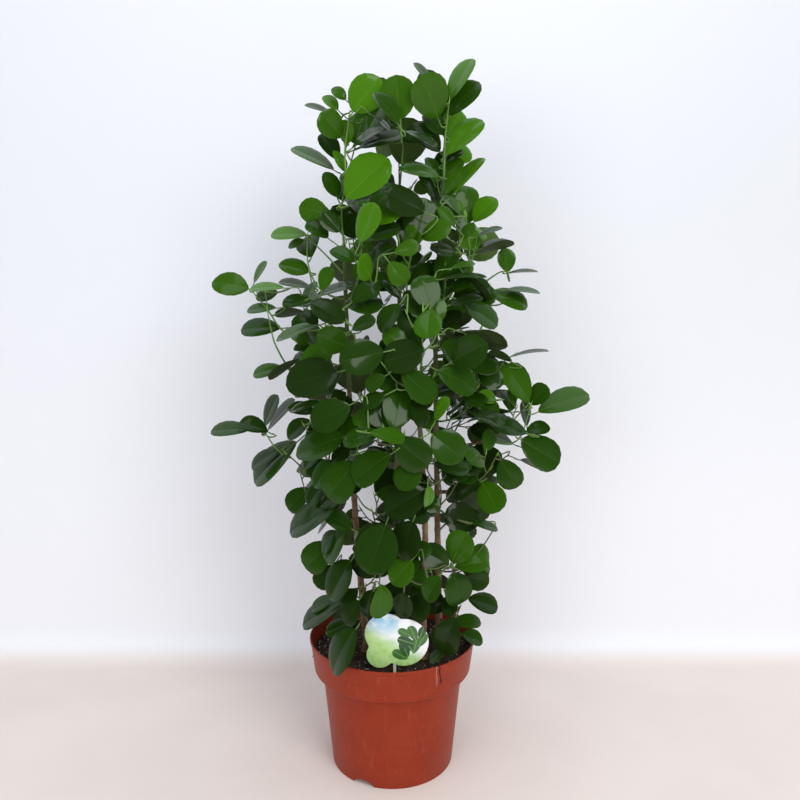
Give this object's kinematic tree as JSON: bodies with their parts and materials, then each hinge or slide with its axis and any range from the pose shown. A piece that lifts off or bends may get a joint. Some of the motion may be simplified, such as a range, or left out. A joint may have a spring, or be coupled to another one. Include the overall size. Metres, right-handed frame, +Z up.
{
  "type": "round-leaved fig in a nursery pot",
  "caption": "Bushy round-leaved fig with several upright stems and glossy rounded leaves, in a terracotta-coloured plastic nursery pot with a plain picture label.",
  "frame": {"origin": "on the pot's axis, on the flat underside that the pot stands on", "axes": "+Z up, the pot's axis; the front, where the label stands, faces -Y; +X is to the right seen from the front"},
  "size_m": [0.4406, 0.3982, 0.8683],
  "materials": {
    "pot_plastic": "satin",
    "potting_mix": "rough",
    "label_card": "satin",
    "bark": "rough",
    "leaf_green": "glossy"
  },
  "bodies": {
    "root": {"bough_back_lower": "bark", "bough_back_upper": "bark", "bough_front_lower": "bark", "bough_front_upper": "bark", "bough_left_lower": "bark", "bough_left_middle": "bark", "bough_left_upper": "bark", "bough_right_lower": "bark", "bough_right_middle": "bark", "bough_right_upper": "bark", "foliage_01": "leaf_green", "foliage_02": "leaf_green", "foliage_03": "leaf_green", "foliage_04": "leaf_green", "foliage_05": "leaf_green", "foliage_06": "leaf_green", "foliage_07": "leaf_green", "foliage_08": "leaf_green", "foliage_09": "leaf_green", "foliage_10": "leaf_green", "foliage_11": "leaf_green", "foliage_12": "leaf_green", "foliage_13": "leaf_green", "foliage_14": "leaf_green", "foliage_15": "leaf_green", "foliage_16": "leaf_green", "foliage_17": "leaf_green", "foliage_18": "leaf_green", "foliage_19": "leaf_green", "foliage_20": "leaf_green", "foliage_back_lower": "leaf_green", "foliage_back_upper": "leaf_green", "foliage_front_foot": "leaf_green", "foliage_front_lower": "leaf_green", "foliage_front_rosette": "leaf_green", "foliage_front_upper": "leaf_green", "foliage_front_waist": "leaf_green", "foliage_left_foot": "leaf_green", "foliage_left_lower": "leaf_green", "foliage_left_middle": "leaf_green", "foliage_left_shoulder": "leaf_green", "foliage_left_upper": "leaf_green", "foliage_left_waist": "leaf_green", "foliage_right_foot": "leaf_green", "foliage_right_lower": "leaf_green", "foliage_right_middle": "leaf_green", "foliage_right_shoulder": "leaf_green", "foliage_right_upper": "leaf_green", "foliage_right_waist": "leaf_green", "foliage_top_back": "leaf_green", "foliage_top_front": "leaf_green", "foliage_top_left": "leaf_green", "foliage_top_right": "leaf_green", "plant_label": "label_card", "pot": "pot_plastic", "potting_mix": "potting_mix", "stem_back": "bark", "stem_front": "bark", "stem_left": "bark", "stem_right": "bark"}
  },
  "joints": []
}
